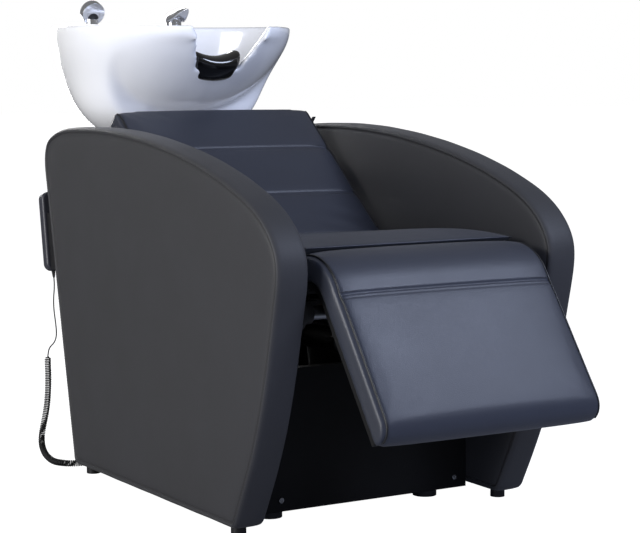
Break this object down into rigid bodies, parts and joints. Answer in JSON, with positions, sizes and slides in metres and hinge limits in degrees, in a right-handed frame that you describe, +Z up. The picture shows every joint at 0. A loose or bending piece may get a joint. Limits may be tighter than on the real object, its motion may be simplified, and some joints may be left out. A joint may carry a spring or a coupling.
{
  "type": "hair washing bed",
  "caption": "Salon hair washing bed: upholstered reclined chair between curved side panels, powered leg rest and a tilting white ceramic basin with mixer and hand shower.",
  "frame": {"origin": "on the floor under the middle of the object's box, cord left out", "axes": "+Y points back from the leg rest to the basin, +Z up, and +X is right seen from the front, away from the handset's side"},
  "size_m": [0.7071, 1.6121, 1.0512],
  "materials": {
    "vinyl_panel": "matt grained",
    "vinyl_cushion": "satin grained",
    "vinyl_board": "matt",
    "stud_wood": "raw",
    "ply": "raw plywood",
    "black_paint": "satin black",
    "steel": "plain",
    "bright_steel": "zinc plated",
    "chrome": "polished",
    "black_plastic": "moulded",
    "grey_plastic": "moulded",
    "button_plastic": "moulded",
    "ceramic": "white glaze",
    "gel": "glossy black gel",
    "cord_rubber": "satin black",
    "hose_grey": "ribbed grey",
    "hose_braid": "braided",
    "label": "plain black"
  },
  "bodies": {
    "chair": {"actuator_bracket": "black_paint", "actuator_gearbox": "black_plastic", "actuator_motor": "black_paint", "actuator_tube": "steel", "back_board": "ply", "back_cushion": "vinyl_cushion", "back_rails": "black_paint", "back_top_tube": "black_paint", "base_cross_tubes": "black_paint", "base_side_tubes": "black_paint", "basin_column": "black_paint", "control_box": "black_plastic", "cord_gland": "black_plastic", "curly_cord": "cord_rubber", "cushion_tag": "label", "floor_glides": "black_plastic", "front_board": "vinyl_board", "front_board_screws": "bright_steel", "handset_bracket": "black_plastic", "handset_lead": "cord_rubber", "left_edge_band": "vinyl_panel", "left_panel_core": "stud_wood", "left_panel_covers": "vinyl_panel", "leg_bearings": "black_paint", "pipe_rail": "grey_plastic", "power_inlet": "black_plastic", "rear_cover": "black_plastic", "right_edge_band": "vinyl_panel", "right_panel_core": "stud_wood", "right_panel_covers": "vinyl_panel", "seat_board": "ply", "seat_cross_tubes": "black_paint", "seat_cushion": "vinyl_cushion", "seat_rails": "black_paint", "tail_lead": "cord_rubber", "tilt_bracket": "black_paint", "waste_hose": "hose_grey", "water_hoses": "hose_braid"},
    "leg_rest": {"leg_cushion": "vinyl_cushion", "leg_board": "vinyl_board", "leg_shaft": "steel", "leg_frame": "black_paint"},
    "lift_rod": {"actuator_rod": "bright_steel", "rod_fork": "bright_steel"},
    "basin_unit": {"basin": "ceramic", "neck_rest": "gel", "basin_plate": "black_paint", "waste_fitting": "chrome", "mixer_body": "chrome", "shower_collar": "chrome"},
    "strainer": {"drain_strainer": "chrome"},
    "tilt_clamp": {"tilt_lever": "black_plastic"},
    "mixer_swivel": {"mixer_hub": "chrome"},
    "mixer_handle": {"mixer_lever": "chrome"},
    "shower": {"hand_shower": "chrome"},
    "handset": {"handset_body": "grey_plastic", "handset_panel": "black_plastic", "cord_relief": "cord_rubber"},
    "up_key": {"up_button": "button_plastic"},
    "down_key": {"down_button": "button_plastic"}
  },
  "joints": [
    {"name": "leg_rest_lift", "type": "hinge", "parent": "chair", "child": "leg_rest", "pos_m": [0, -0.5445, 0.4403], "axis": [-1, 0, 0], "range_deg": [-35, 38.5]},
    {"name": "lift_rod_slide", "type": "slide", "parent": "chair", "child": "lift_rod", "axis": [0, -1, 0], "range_m": [-0.0355, 0.0388]},
    {"name": "basin_tilt", "type": "hinge", "parent": "chair", "child": "basin_unit", "pos_m": [0, 0.4241, 0.688], "axis": [-1, 0, 0], "range_deg": [-6, 12], "deforming": ["waste_hose", "water_hoses"]},
    {"name": "tilt_clamp_turn", "type": "hinge", "parent": "chair", "child": "tilt_clamp", "pos_m": [0.0474, 0.4241, 0.688], "axis": [1, 0, 0], "range_deg": [-25, 25]},
    {"name": "strainer_lift", "type": "slide", "parent": "basin_unit", "child": "strainer", "axis": [0, 0, 1], "range_m": [0, 0.06]},
    {"name": "mixer_turn", "type": "hinge", "parent": "basin_unit", "child": "mixer_swivel", "pos_m": [0.11, 0.6741, 1.0078], "axis": [0, 0, 1], "range_deg": [-45, 45]},
    {"name": "mixer_lift", "type": "hinge", "parent": "mixer_swivel", "child": "mixer_handle", "pos_m": [0.11, 0.6921, 1.0171], "axis": [-1, 0, 0], "range_deg": [0, 25]},
    {"name": "shower_lift", "type": "slide", "parent": "basin_unit", "child": "shower", "axis": [0, 0, 1], "range_m": [0, 0.1]},
    {"name": "handset_lift", "type": "slide", "parent": "chair", "child": "handset", "axis": [0, 0.1564, 0.9877], "range_m": [0, 0.1]},
    {"name": "up_press", "type": "slide", "parent": "handset", "child": "up_key", "axis": [0, -0.9877, 0.1564], "range_m": [0, 0.001], "stiffness_N_per_m": 300, "springref_m": -0.0005},
    {"name": "down_press", "type": "slide", "parent": "handset", "child": "down_key", "axis": [0, -0.9877, 0.1564], "range_m": [0, 0.001], "stiffness_N_per_m": 300, "springref_m": -0.0005}
  ],
  "couplings": [
    {"joint": "lift_rod_slide", "follows": "leg_rest_lift", "m_per_rad": 0.0564}
  ]
}
